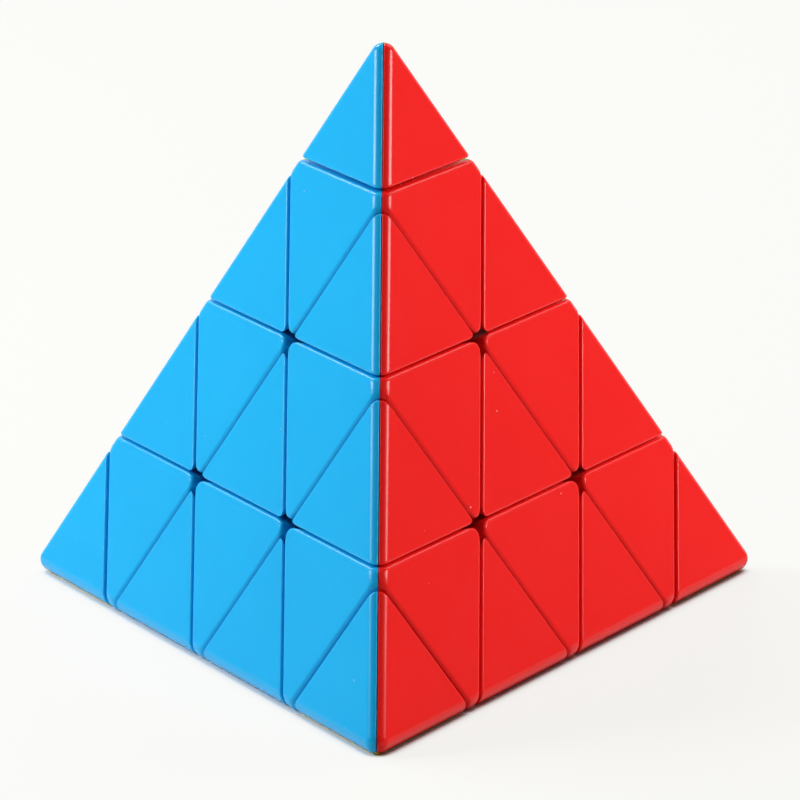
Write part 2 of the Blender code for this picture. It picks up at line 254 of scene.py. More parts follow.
class NodeBoard:
    """Short-hand for making a material's nodes and joining them."""

    def __init__(self, name: str) -> None:
        """Start a material with a plain Principled surface.

        Args:
            name: name of the material.
        """
        self.material = bpy.data.materials.new(name)
        self.material.use_nodes = True
        self.tree = self.material.node_tree
        self.shader = self.tree.nodes["Principled BSDF"]

    def add(self, kind: str, **settings: object) -> bpy.types.Node:
        """Add one node.

        Args:
            kind: Blender's node type name.
            settings: attributes of the node, or input values by input name.

        Returns:
            The new node.
        """
        node = self.tree.nodes.new(kind)
        for key, value in settings.items():
            if hasattr(node, key):
                setattr(node, key, value)
            else:
                node.inputs[key.replace("_", " ")].default_value = value
        return node

    def join(self, source: bpy.types.NodeSocket, target: bpy.types.NodeSocket) -> None:
        """Link one socket to another."""
        self.tree.links.new(source, target)

    def ramp(
        self, source: bpy.types.NodeSocket, low: float, high: float, to_low: float, to_high: float
    ) -> bpy.types.NodeSocket:
        """Map a value from one range to another.

        Args:
            source: value to map.
            low: value that becomes to_low.
            high: value that becomes to_high.
            to_low: start of the new range.
            to_high: end of the new range.

        Returns:
            The socket of the mapped value.
        """
        node = self.add("ShaderNodeMapRange", clamp=True)
        for key, value in (("From Min", low), ("From Max", high), ("To Min", to_low), ("To Max", to_high)):
            node.inputs[key].default_value = value
        self.join(source, node.inputs["Value"])
        return node.outputs["Result"]

    def blend(
        self,
        factor: bpy.types.NodeSocket,
        first: tuple | bpy.types.NodeSocket,
        second: tuple | bpy.types.NodeSocket,
    ) -> bpy.types.NodeSocket:
        """Mix two colours.

        Args:
            factor: share of the second colour.
            first: colour, or socket of a colour, at factor 0.
            second: colour, or socket of a colour, at factor 1.

        Returns:
            The socket of the mixed colour.
        """
        node = self.add("ShaderNodeMix", data_type="RGBA")
        self.join(factor, node.inputs["Factor"])
        for key, value in (("A", first), ("B", second)):
            socket = next(item for item in node.inputs if item.name == key and item.type == "RGBA")
            if isinstance(value, bpy.types.NodeSocket):
                self.join(value, socket)
            else:
                socket.default_value = (*value, 1.0)
        return next(item for item in node.outputs if item.type == "RGBA")


@dataclass(frozen=True)
class MouldedPlastic:
    """Satin moulded plastic with a fine mould grain, slight flow marks and a little dust."""

    name: str
    colour: tuple[float, float, float]
    flow: tuple[float, float, float]
    roughness: float = 0.24
    dust: float = 0.5
    specular: float = 0.16
    speck_edge: tuple[float, float] = (0.025, 0.055)
    patch_edge: tuple[float, float] = (0.61, 0.67)
    dust_colour: tuple[float, float, float] = (0.86, 0.84, 0.82)
    streak_edge: tuple[float, float] = (0.35, 0.65)
    smear_edge: tuple[float, float] = (0.3, 0.7)
    smear_rise: tuple[float, float] = (-0.02, 0.03)
    grain_strength: float = 0.12
    grain_height: float = 0.00002

    def material(self) -> bpy.types.Material:
        """Build the material's nodes.

        Returns:
            The material.
        """
        board = NodeBoard(self.name)
        place = board.add("ShaderNodeTexCoord").outputs["Object"]
        flow = board.add("ShaderNodeTexNoise", Scale=46.0, Detail=3.0, Roughness=0.55)
        grain = board.add("ShaderNodeTexNoise", Scale=2600.0, Detail=2.0, Roughness=0.6)
        smear = board.add("ShaderNodeTexNoise", Scale=190.0, Detail=4.0, Roughness=0.6)
        specks = board.add("ShaderNodeTexVoronoi", Scale=430.0, Randomness=1.0)
        patches = board.add("ShaderNodeTexNoise", Scale=120.0, Detail=2.0)
        for node in (flow, grain, smear, specks, patches):
            board.join(place, node.inputs["Vector"])
        streak = board.ramp(flow.outputs["Fac"], *self.streak_edge, 0.0, 1.0)
        tinted = board.blend(streak, self.colour, self.flow)
        dot = board.ramp(specks.outputs["Distance"], *self.speck_edge, 1.0, 0.0)
        where = board.ramp(patches.outputs["Fac"], *self.patch_edge, 0.0, self.dust)
        dust = board.add("ShaderNodeMath", operation="MULTIPLY")
        board.join(dot, dust.inputs[0])
        board.join(where, dust.inputs[1])
        dusty = board.blend(dust.outputs["Value"], tinted, self.dust_colour)
        board.join(dusty, board.shader.inputs["Base Color"])
        sheen = (self.roughness + rise for rise in self.smear_rise)
        gloss = board.ramp(smear.outputs["Fac"], *self.smear_edge, *sheen)
        board.join(gloss, board.shader.inputs["Roughness"])
        bump = board.add("ShaderNodeBump", Strength=self.grain_strength, Distance=self.grain_height)
        board.join(grain.outputs["Fac"], bump.inputs["Height"])
        board.join(bump.outputs["Normal"], board.shader.inputs["Normal"])
        board.shader.inputs["Specular IOR Level"].default_value = self.specular
        return board.material


@dataclass(frozen=True)
class BrightSteel:
    """Plated steel wire and screw stock with fine drawn marks."""

    name: str
    colour: tuple[float, float, float] = (0.62, 0.61, 0.59)
    roughness: float = 0.27
    stain: float = 0.72
    stain_edge: tuple[float, float] = (0.4, 0.7)
    mark_edge: tuple[float, float] = (0.3, 0.7)
    mark_rise: tuple[float, float] = (-0.08, 0.14)
    mark_strength: float = 0.2
    mark_height: float = 0.00001

    def material(self) -> bpy.types.Material:
        """Build the material's nodes.

        Returns:
            The material.
        """
        board = NodeBoard(self.name)
        place = board.add("ShaderNodeTexCoord").outputs["Object"]
        marks = board.add("ShaderNodeTexNoise", Scale=900.0, Detail=5.0, Roughness=0.7)
        stain = board.add("ShaderNodeTexNoise", Scale=160.0, Detail=3.0)
        board.join(place, marks.inputs["Vector"])
        board.join(place, stain.inputs["Vector"])
        shade = board.ramp(stain.outputs["Fac"], *self.stain_edge, 0.0, 1.0)
        darker = tuple(self.stain * value for value in self.colour)
        board.join(board.blend(shade, self.colour, darker), board.shader.inputs["Base Color"])
        sheen = (self.roughness + rise for rise in self.mark_rise)
        gloss = board.ramp(marks.outputs["Fac"], *self.mark_edge, *sheen)
        board.join(gloss, board.shader.inputs["Roughness"])
        bump = board.add("ShaderNodeBump", Strength=self.mark_strength, Distance=self.mark_height)
        board.join(marks.outputs["Fac"], bump.inputs["Height"])
        board.join(bump.outputs["Normal"], board.shader.inputs["Normal"])
        board.shader.inputs["Metallic"].default_value = 1.0
        return board.material


@dataclass(frozen=True)
class PaleFloor:
    """Plain pale studio paper with a share of glow of its own. Ambient occlusion takes the glow away right
    under the object, which paints a dark contact shade there.
    """

    name: str = "studio_paper"
    colour: tuple[float, float, float] = (0.85, 0.848, 0.835)
    glow: tuple[float, float, float] = (1.0, 1.0, 0.975)
    share: float = 0.85
    # Reach and ramp of the ambient occlusion that paints the dark contact shade under the object.
    contact_shade_reach: float = 0.004
    contact_shade_edge: tuple[float, float] = (0.38, 0.66)
    roughness: float = 0.9
    specular: float = 0.05

    def material(self) -> bpy.types.Material:
        """Build the material's nodes.

        Returns:
            The material.
        """
        board = NodeBoard(self.name)
        board.shader.inputs["Base Color"].default_value = (*self.colour, 1.0)
        board.shader.inputs["Roughness"].default_value = self.roughness
        board.shader.inputs["Specular IOR Level"].default_value = self.specular
        path = board.add("ShaderNodeLightPath")
        seen = path.outputs["Is Camera Ray"]
        for ray in ("Is Glossy Ray", "Is Transmission Ray"):
            either = board.add("ShaderNodeMath", operation="MAXIMUM")
            board.join(seen, either.inputs[0])
            board.join(path.outputs[ray], either.inputs[1])
            seen = either.outputs["Value"]
        # Ambient occlusion lowers the glow near the object, so the floor shows a painted dark contact shade
        # under its edges.
        under = board.add("ShaderNodeAmbientOcclusion", samples=8, Distance=self.contact_shade_reach)
        amount = board.add("ShaderNodeMath", operation="MULTIPLY")
        open_share = board.ramp(under.outputs["AO"], *self.contact_shade_edge, 0.0, self.share)
        board.join(open_share, amount.inputs[0])
        board.join(seen, amount.inputs[1])
        glow = board.add("ShaderNodeEmission", Color=(*self.glow, 1.0), Strength=1.0)
        mix = board.add("ShaderNodeMixShader")
        board.join(amount.outputs["Value"], mix.inputs["Fac"])
        board.join(board.shader.outputs["BSDF"], mix.inputs[1])
        board.join(glow.outputs["Emission"], mix.inputs[2])
        board.join(mix.outputs["Shader"], board.tree.nodes["Material Output"].inputs["Surface"])
        return board.material


PLASTICS: dict[FaceColour, MouldedPlastic] = {
    FaceColour.BLUE: MouldedPlastic("blue_moulding", (0.009, 0.47, 0.91), (0.008, 0.45, 0.89)),
    FaceColour.RED: MouldedPlastic("red_moulding", (0.9, 0.013, 0.011), (0.88, 0.012, 0.01), dust=0.8),
    FaceColour.GREEN: MouldedPlastic("green_moulding", (0.02, 0.52, 0.07), (0.016, 0.48, 0.06)),
    FaceColour.YELLOW: MouldedPlastic("yellow_moulding", (0.89, 0.73, 0.03), (0.86, 0.69, 0.025)),
}
CORE_FINISH = MouldedPlastic("core_moulding", (0.032, 0.032, 0.035), (0.026, 0.026, 0.029), 0.45, 0.2)
STEEL_FINISH = BrightSteel("plated_steel")


class Solid:
    """A bmesh body that is cut by planes, rounded and combined into one shell."""

    def __init__(self, body: bmesh.types.BMesh) -> None:
        """Wrap a bmesh."""
        self.body = body

    @classmethod
    def pyramid(cls, layout: Layout) -> "Solid":
        """Whole pyramid with finely rounded edges and corners.

        Args:
            layout: sizes of the puzzle.

        Returns:
            A solid whose faces are all marked as skin.
        """
        body = bmesh.new()
        inset = 1.0 - layout.edge_round / layout.face
        for corner in CORNERS:
            vertex = corner.axis * layout.apex * inset
            normals = [-other.axis for other in CORNERS if other is not corner]
            for direction in spread(normals, ROUND_DEPTH):
                body.verts.new(vertex + direction * layout.edge_round)
        bmesh.ops.remove_doubles(body, verts=body.verts, dist=WELD)
        hull = bmesh.ops.convex_hull(body, input=body.verts)
        inner = [item for item in hull["geom_interior"] if isinstance(item, bmesh.types.BMVert)]
        bmesh.ops.delete(body, geom=inner, context="VERTS")
        bmesh.ops.dissolve_limit(body, angle_limit=FLAT_ANGLE, verts=body.verts, edges=body.edges)
        kind = body.faces.layers.int.new("surface")
        for face in body.faces:
            face[kind] = Surface.SKIN.value
        return cls(body)

    @classmethod
    def lathe(cls, outline: Sequence[tuple[float, float]], segments: int) -> "Solid":
        """Solid of revolution about +Z.

        Args:
            outline: closed outline of radius and height.
            segments: number of flats round the turn.

        Returns:
            The turned solid.
        """
        body = bmesh.new()
        ring = [body.verts.new((radius, 0.0, height)) for radius, height in outline]
        for first, second in zip(ring, ring[1:] + ring[:1]):
            if max(first.co.x, second.co.x) > AXIS_SLACK:
                body.edges.new((first, second))
        bmesh.ops.spin(
            body,
            geom=body.verts[:] + body.edges[:],
            axis=(0.0, 0.0, 1.0),
            cent=(0.0, 0.0, 0.0),
            steps=segments,
            angle=2.0 * math.pi,
            use_merge=True,
        )
        bmesh.ops.remove_doubles(body, verts=body.verts, dist=WELD)
        bmesh.ops.recalc_face_normals(body, faces=body.faces)
        body.faces.layers.int.new("surface")
        return cls(body)

    @classmethod
    def ball(cls, radius: float) -> "Solid":
        """Fine sphere about the centre.

        Args:
            radius: radius of the sphere.

        Returns:
            The sphere as a solid.
        """
        body = bmesh.new()
        bmesh.ops.create_icosphere(body, subdivisions=BALL_DEPTH, radius=radius)
        body.faces.layers.int.new("surface")
        return cls(body)

    def keep(
        self,
        normal: Vector,
        low: float | None = None,
        high: float | None = None,
        surface: Surface = Surface.CUT,
    ) -> "Solid":
        """Cut away what lies outside one or two planes across a direction.

        Args:
            normal: direction that the planes lie across.
            low: distance of the lower plane, if there is one.
            high: distance of the upper plane, if there is one.
            surface: what the new faces are.

        Returns:
            This solid, for chaining.
        """
        kind = self.body.faces.layers.int["surface"]
        for sign, distance in ((-1.0, low), (1.0, high)):
            if distance is None:
                continue
            cut = bmesh.ops.bisect_plane(
                self.body,
                geom=self.body.verts[:] + self.body.edges[:] + self.body.faces[:],
                dist=PLANE_SLACK,
                plane_co=normal * distance,
                plane_no=normal * sign,
                clear_outer=True,
            )
            rim = [item for item in cut["geom_cut"] if isinstance(item, bmesh.types.BMEdge)]
            if rim:
                filled = bmesh.ops.holes_fill(self.body, edges=rim, sides=0)
                for face in filled["faces"]:
                    face[kind] = surface.value
        bmesh.ops.recalc_face_normals(self.body, faces=self.body.faces)
        return self

    def mesh(self, name: str) -> bpy.types.Mesh:
        """Hand the body over as a mesh.

        Args:
            name: name of the mesh.

        Returns:
            The mesh, with the body freed.
        """
        bmesh.ops.recalc_face_normals(self.body, faces=self.body.faces)
        mesh = bpy.data.meshes.new(name)
        self.body.to_mesh(mesh)
        self.body.free()
        return mesh

    def rounded(
        self, name: str, widths: dict[frozenset[Surface], float], segments: int = 4
    ) -> bpy.types.Mesh:
        """Round edges by what they join and hand over the mesh.

        Args:
            name: name of the mesh.
            widths: bevel width for each pair of surfaces that an edge may join.
            segments: flats in each rounding.

        Returns:
            The rounded mesh.
        """
        kind = self.body.faces.layers.int["surface"]
        weight = self.body.edges.layers.float.new("bevel_weight_edge")
        largest = max(widths.values())
        for edge in self.body.edges:
            pair = frozenset(Surface(face[kind]) for face in edge.link_faces)
            turn = edge.calc_face_angle(0.0)
            if turn > BEVEL_ANGLE:
                edge[weight] = widths.get(pair, 0.0) / largest
        mesh = self.mesh(name)
        with Bench(mesh) as bench:
            bevel = bench.target.modifiers.new("rounding", "BEVEL")
            bevel.width = largest
            bevel.segments = segments
            bevel.limit_method = "WEIGHT"
            bevel.offset_type = "OFFSET"
            bevel.use_clamp_overlap = False
            return bench.baked()


class Bench:
    """A short-lived object on which modifiers are run and baked."""

    def __init__(self, mesh: bpy.types.Mesh) -> None:
        """Take the mesh that is worked on."""
        self.mesh = mesh
        self.items: list[bpy.types.Object] = []

    def __enter__(self) -> "Bench":
        """Set up the object that carries the mesh."""
        self.target = self.lay(self.mesh)
        return self

    def __exit__(self, *_: object) -> None:
        """Clear the bench."""
        for item in self.items:
            bpy.data.objects.remove(item)

    def lay(self, mesh: bpy.types.Mesh) -> bpy.types.Object:
        """Put a mesh on the bench.

        Args:
            mesh: mesh to carry.

        Returns:
            The object that carries it.
        """
        item = bpy.data.objects.new("bench", mesh)
        bpy.context.scene.collection.objects.link(item)
        self.items.append(item)
        return item

    def combine(self, mesh: bpy.types.Mesh, operation: str) -> None:
        """Add a boolean with another mesh.

        Args:
            mesh: the other body.
            operation: UNION or DIFFERENCE.
        """
        modifier = self.target.modifiers.new("combine", "BOOLEAN")
        modifier.operation = operation
        modifier.solver = "MANIFOLD"
        modifier.object = self.lay(mesh)

    def baked(self) -> bpy.types.Mesh:
        """Run the modifiers.

        Returns:
            The mesh as they leave it.
        """
        graph = bpy.context.evaluated_depsgraph_get()
        result = bpy.data.meshes.new_from_object(self.target.evaluated_get(graph))
        result.name = self.mesh.name
        return result


def spread(normals: Sequence[Vector], depth: int) -> list[Vector]:
    """Even directions over the spherical triangle between three normals.

    Args:
        normals: the triangle's three corners.
        depth: how many times its sides are halved.

    Returns:
        Unit directions, with repeats where triangles meet.
    """
    if depth == 0:
        return [normal.copy() for normal in normals]
    first, second, third = normals
    mids = [(a + b).normalized() for a, b in ((first, second), (second, third), (third, first))]
    parts = ((first, mids[0], mids[2]), (mids[0], second, mids[1]), (mids[2], mids[1], third), tuple(mids))
    return [direction for part in parts for direction in spread(part, depth - 1)]


def ordered(first: Corner, second: Corner) -> tuple[Corner, ...]:
    """Corner order that starts with the two given and keeps the puzzle's handedness.

    Args:
        first: corner that the top corner goes to.
        second: corner that the front corner goes to.

    Returns:
        The corners that top, front, left and right go to.
    """
    rest = [corner for corner in CORNERS if corner not in (first, second)]
    start = Corner.TOP.axis.cross(Corner.FRONT.axis).dot(Corner.LEFT.axis)
    if first.axis.cross(second.axis).dot(rest[0].axis) * start < 0.0:
        rest.reverse()
    return (first, second, *rest)


def symmetry(first: Corner, second: Corner) -> Matrix:
    """Rotation that takes the top and front corners to the two given.

    Args:
        first: where the top corner goes.
        second: where the front corner goes.

    Returns:
        The rotation about the centre as a 4 by 4 matrix.
    """
    source = Matrix([corner.axis for corner in CORNERS[:3]]).transposed()
    target = Matrix([corner.axis for corner in ordered(first, second)[:3]]).transposed()
    return (target @ source.inverted()).to_4x4()


@dataclass
class PieceSet:
    """One kind of puzzle piece, moulded as coloured shells and placed all round."""

    layout: Layout = LAYOUT
    finishes: dict[FaceColour, bpy.types.Material] = field(default_factory=dict)
    made: dict[tuple, bpy.types.Mesh] = field(default_factory=dict)
    reach: float = LAYOUT.base_wrap
    pocket_segments: int = 72
    soft_segments: int = 5
    cut_round_share: float = 0.6
    parting_round_share: float = 0.5

    def wrap(self, face: Corner, other: Corner) -> float:
        """Shift of the parting line between two faces from the middle of their edge.

        Args:
            face: corner opposite the shell's own face.
            other: corner opposite the face across the edge.

        Returns:
            Distance taken off the shell, below zero where it reaches under the base edge.
        """
        base = FaceColour.YELLOW.value
        return self.reach * ((face is base) - (other is base))

    def moulded(self, *key: object) -> bpy.types.Mesh:
        """Shell for a set of partings, built once and kept.

        Args:
            key: what the kind's shell method takes.

        Returns:
            The shell's mesh.
        """
        if key not in self.made:
            self.made[key] = self.shell(*key)
        return self.made[key]

    @property
    def roundings(self) -> dict[frozenset[Surface], float]:
        """Bevel width for each kind of edge on a shell."""
        parting_inner = self.parting_round_share * self.layout.parting_round
        return {
            frozenset((Surface.SKIN, Surface.CUT)): self.layout.seam_round,
            frozenset((Surface.CUT,)): self.cut_round_share * self.layout.seam_round,
            frozenset((Surface.SKIN, Surface.PARTING)): self.layout.parting_round,
            frozenset((Surface.CUT, Surface.PARTING)): parting_inner,
        }

    def part_from(
        self, solid: Solid, face: Corner, others: dict[Corner, float], slack: float = 0.0
    ) -> Solid:
        """Keep only the share of a solid that lies nearest one face.

        Args:
            solid: body to part.
            face: corner opposite the face that is kept.
            others: shift of the parting line towards the kept face, by the corner
                opposite each face that is cut off.
            slack: extra distance from the parting plane.

        Returns:
            The same solid, parted.
        """
        for other, shift in others.items():
            normal = (other.axis - face.axis).normalized()
            solid.keep(normal, low=self.layout.parting_gap + shift + slack, surface=Surface.PARTING)
        return solid

    def round_tile(
        self, solid: Solid, face: Corner, sides: Sequence[tuple[Corner, float]], flats: int = 7
    ) -> None:
        """Round the corner of a tile where two cuts meet on a face.

        Args:
            solid: piece that is rounded.
            face: corner opposite the tile's face.
            sides: the two cuts, as corner and distance, that the tile lies below.
            flats: number of flats in the rounding.
        """
        outward = -face.axis
        first, second = (corner.axis for corner, _ in sides)
        planes = Matrix((outward, first, second))
        point = planes.inverted() @ Vector((self.layout.face, sides[0][1], sides[1][1]))
        ahead = first + second
        ahead = (ahead - outward * ahead.dot(outward)).normalized()
        across = outward.cross(ahead)
        radius = self.layout.corner_round
        # A circle in a corner of 60 degrees has its centre two radii from the point.
        centre = point - ahead * 2.0 * radius
        for step in range(flats):
            angle = TILE_CORNER * (2.0 * (step + 0.5) / flats - 1.0)
            normal = ahead * math.cos(angle) + across * math.sin(angle)
            solid.keep(normal, high=normal.dot(centre) + radius)

    def finish_mesh(self, mesh: bpy.types.Mesh) -> bpy.types.Mesh:
        """Clean a finished shell and set its shading.

        Args:
            mesh: shell as the booleans leave it.

        Returns:
            The mesh with flat tiles and smooth roundings.
        """
        body = bmesh.new()
        body.from_mesh(mesh)
        bmesh.ops.remove_doubles(body, verts=body.verts, dist=CLEAN)
        bmesh.ops.dissolve_degenerate(body, edges=body.edges, dist=CLEAN)
        bmesh.ops.recalc_face_normals(body, faces=body.faces)
        body.to_mesh(mesh)
        body.free()
        mesh.shade_smooth()
        mesh.set_sharp_from_angle(angle=SMOOTH_ANGLE)
        with Bench(mesh) as bench:
            normals = bench.target.modifiers.new("flat_tiles", "WEIGHTED_NORMAL")
            normals.keep_sharp = True
            normals.weight = 100
            return bench.baked()

    def place(
        self, name: str, mesh: bpy.types.Mesh, turn: Matrix, colour: FaceColour, body: str, node: str
    ) -> None:
        """Put one coloured shell in the scene.

        Args:
            name: name of the shell.
            mesh: shell's shape about the puzzle's centre.
            turn: rotation that takes it to its place.
            colour: face that it shows.
            body: body that it moves with.
            node: solid that it stands for.
        """
        own = mesh.copy()
        own.name = name
        own.transform(turn)
        own.materials.clear()
        own.materials.append(self.finishes[colour])
        item = bpy.data.objects.new(name, own)
        bpy.context.scene.collection.objects.link(item)
        item.location = (0.0, 0.0, self.layout.face)
        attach(item, body)
        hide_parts(node)
        log.info("%s rides on %s", name, body)

    def pocket(self, corner: Corner) -> bpy.types.Mesh:
        """Cutter for the circular pocket about one corner axis.

        Args:
            corner: corner that the pocket turns about.

        Returns:
            The cutter's mesh.
        """
        size = self.layout
        top = size.cut_corner + size.gap
        outline = (
            (0.0, size.pocket_floor),
            (size.pocket_undercut, size.pocket_floor),
            (size.pocket_undercut, size.pocket_lip),
            (size.pocket_mouth, size.pocket_lip),
            (size.pocket_mouth, top),
            (0.0, top),
        )
        mesh = Solid.lathe(outline, self.pocket_segments).mesh("pocket")
        second = next(other for other in CORNERS if other is not corner)
        mesh.transform(symmetry(corner, second))
        return mesh

    def tab(self, inside: Sequence[Corner], outside: Sequence[Corner]) -> Solid:
        """Curved tab that slides on the core, before its inside is hollowed.

        Args:
            inside: corners whose deep layer the piece belongs to.
            outside: corners whose deep layer it doesn't belong to.

        Returns:
            The tab as a solid out to its outer radius.
        """
        size = self.layout
        solid = Solid.ball(size.tab_outer)
        for corner in inside:
            solid.keep(corner.axis, low=size.half - size.tab_reach)
        for corner in outside:
            solid.keep(corner.axis, high=-size.half - size.tab_reach)
        return solid


@dataclass
class Tips(PieceSet):
    """The four spinning corner tips, each three coloured shells round a spindle socket."""

    reach: float = LAYOUT.tip_wrap
    socket_segments: int = 40

    def shell(self, front: float, left: float) -> bpy.types.Mesh:
        """Shape of one tip shell on the face opposite the right corner.

        Args:
            front: shift of its parting line with the face opposite the front corner.
            left: shift of its parting line with the face opposite the left corner.

        Returns:
            The shell's mesh.
        """
        size = self.layout
        solid = Solid.pyramid(size).keep(Corner.TOP.axis, low=size.cut_tip + size.tip_half)
        self.part_from(solid, Corner.RIGHT, {Corner.FRONT: front, Corner.LEFT: left})
        mesh = solid.rounded("tip_shell", self.roundings)
        radius = size.stem_radius + size.gap
        bottom = size.cut_tip - size.gap
        top = size.stem_top + size.gap
        socket = ((0.0, bottom), (radius, bottom), (radius, top), (0.0, top))
        with Bench(mesh) as bench:
            bench.combine(Solid.lathe(socket, self.socket_segments).mesh("socket"), "DIFFERENCE")
            return self.finish_mesh(bench.baked())

    def build(self) -> None:
        """Place the twelve tip shells."""
        for corner in CORNERS:
            for second in (other for other in CORNERS if other is not corner):
                _, front, left, face = ordered(corner, second)
                mesh = self.moulded(self.wrap(face, front), self.wrap(face, left))
                colour = FaceColour(face)
                name = f"tip_{corner.value}_{colour.word}"
                node = f"tip_{corner.value}"
                self.place(name, mesh, symmetry(corner, second), colour, node, node)


@dataclass
class Axials(PieceSet):
    """The four octahedral pieces under the tips, each three coloured shells round a hub."""

    bore_segments: int = 48

    def shell(self, front: float, left: float) -> bpy.types.Mesh:
        """Shape of one axial shell on the face opposite the right corner.

        Args:
            front: shift of its parting line with the face opposite the front corner.
            left: shift of its parting line with the face opposite the left corner.

        Returns:
            The shell's mesh.
        """
        size = self.layout
        solid = Solid.pyramid(size)
        solid.keep(Corner.TOP.axis, size.cut_corner + size.seam_half, size.cut_tip - size.tip_half)
        low = size.cut_deep - size.seam_half
        for corner in CORNERS[1:]:
            solid.keep(corner.axis, high=low)
        self.round_tile(solid, Corner.RIGHT, ((Corner.FRONT, low), (Corner.LEFT, low)))
        self.part_from(solid, Corner.RIGHT, {Corner.FRONT: front, Corner.LEFT: left})
        mesh = solid.rounded("axial_shell", self.roundings)
        wide = size.hub_radius + size.gap
        narrow = size.cap_radius + size.gap
        step = size.hub_top + size.gap
        bottom = size.cut_corner - size.gap
        top = size.cut_tip + size.gap
        bore = ((0.0, bottom), (wide, bottom), (wide, step), (narrow, step), (narrow, top), (0.0, top))
        with Bench(mesh) as bench:
            bench.combine(Solid.lathe(bore, self.bore_segments).mesh("bore"), "DIFFERENCE")
            return self.finish_mesh(bench.baked())

    def build(self) -> None:
        """Place the twelve axial shells."""
        for corner in CORNERS:
            for second in (other for other in CORNERS if other is not corner):
                _, front, left, face = ordered(corner, second)
                mesh = self.moulded(self.wrap(face, front), self.wrap(face, left))
                colour = FaceColour(face)
                name = f"axial_{corner.value}_{colour.word}"
                body = f"corner_{corner.value}"
                self.place(name, mesh, symmetry(corner, second), colour, body, f"axial_{corner.value}")


@dataclass
class Wings(PieceSet):
    """The twelve wings, each two coloured shells with half of a hooked foot."""

    foot_segments: int = 90
    foot_bite: float = 4.0
    foot_clear: float = 1.5

    def shell(self, face: Corner, other: Corner, shift: float) -> bpy.types.Mesh:
        """Shape of one half of the wing between the top and front corners.

        Args:
            face: corner opposite the half's own face.
            other: corner opposite the other half's face.
            shift: shift of the parting line between them.

        Returns:
            The half's mesh.
        """
        size = self.layout
        solid = Solid.pyramid(size)
        solid.keep(Corner.TOP.axis, low=size.cut_corner + size.seam_half)
        solid.keep(Corner.FRONT.axis, low=size.cut_deep + size.seam_half)
        self.part_from(solid, face, {other: shift})
        widths = dict(self.roundings)
        widths[frozenset((Surface.CUT,))] = size.corner_round * math.sqrt(2.0)
        mesh = solid.rounded("wing_shell", widths, self.soft_segments)
        hook = size.pocket_undercut - size.gap
        neck = size.pocket_mouth - size.gap
        bottom = size.pocket_floor + size.gap
        ledge = size.pocket_lip - size.gap
        top = size.cut_corner + self.foot_bite * size.gap
        outline = ((0.0, bottom), (hook, bottom), (hook, ledge), (neck, ledge), (neck, top), (0.0, top))
        foot = Solid.lathe(outline, self.foot_segments)
        foot.keep(Corner.FRONT.axis, low=size.cut_deep + self.foot_clear * size.half)
        self.part_from(foot, face, {other: shift}, size.parting_gap)
        with Bench(mesh) as bench:
            bench.combine(foot.mesh("foot"), "UNION")
            return self.finish_mesh(bench.baked())

    def build(self) -> None:
        """Place the twenty-four wing shells."""
        for first in CORNERS:
            for second in (other for other in CORNERS if other is not first):
                node = f"wing_{first.value}_{second.value}"
                body = f"upper_wing_{first.value}" if second is Corner.TOP else f"corner_{first.value}"
                _, _, left, right = ordered(first, second)
                turn = symmetry(first, second)
                halves = (
                    (Corner.LEFT, Corner.RIGHT, left, right),
                    (Corner.RIGHT, Corner.LEFT, right, left),
                )
                for side, across, face, other in halves:
                    mesh = self.moulded(side, across, self.wrap(face, other))
                    colour = FaceColour(face)
                    self.place(f"{node}_{colour.word}", mesh, turn, colour, body, node)


@dataclass
class MidEdges(PieceSet):
    """The six mid-edge pieces, each two coloured shells with half of a sliding tab."""

    roof_share: float = 0.865

    def shell(self, shift: float) -> bpy.types.Mesh:
        """Shape of the half on the face opposite the right corner.

        Args:
            shift: shift of its parting line with the face opposite the left corner.

        Returns:
            The half's mesh.
        """
        size = self.layout
        low = size.cut_deep - size.seam_half
        high = size.cut_corner - size.seam_half
        solid = Solid.pyramid(size)
        for corner in CORNERS[:2]:
            solid.keep(corner.axis, size.cut_deep + size.seam_half, high)
        for corner in CORNERS[2:]:
            solid.keep(corner.axis, high=low)
        for corner in CORNERS[:2]:
            self.round_tile(solid, Corner.RIGHT, ((corner, high), (Corner.LEFT, low)))
        inward = (Corner.TOP.axis + Corner.FRONT.axis).normalized()
        solid.keep(inward, low=size.tab_roof * self.roof_share)
        self.part_from(solid, Corner.RIGHT, {Corner.LEFT: shift})
        mesh = solid.rounded("mid_edge_shell", self.roundings)
        tab = self.tab(CORNERS[:2], CORNERS[2:])
        self.part_from(tab, Corner.RIGHT, {Corner.LEFT: shift}, size.parting_gap)
        with Bench(mesh) as bench:
            bench.combine(tab.mesh("tab"), "UNION")
            bench.combine(Solid.ball(size.tab_inner).mesh("ball"), "DIFFERENCE")
            for corner in CORNERS[:2]:
                bench.combine(self.pocket(corner), "DIFFERENCE")
            return self.finish_mesh(bench.baked())

    def build(self) -> None:
        """Place the twelve mid-edge shells."""
        for i, first in enumerate(CORNERS):
            for second in CORNERS[i + 1:]:
                node = f"mid_edge_{first.value}_{second.value}"
                body = "upper_block" if first is Corner.TOP else "base"
                for pair in ((first, second), (second, first)):
                    other, face = ordered(*pair)[2:]
                    mesh = self.moulded(self.wrap(face, other))
                    colour = FaceColour(face)
                    self.place(f"{node}_{colour.word}", mesh, symmetry(*pair), colour, body, node)


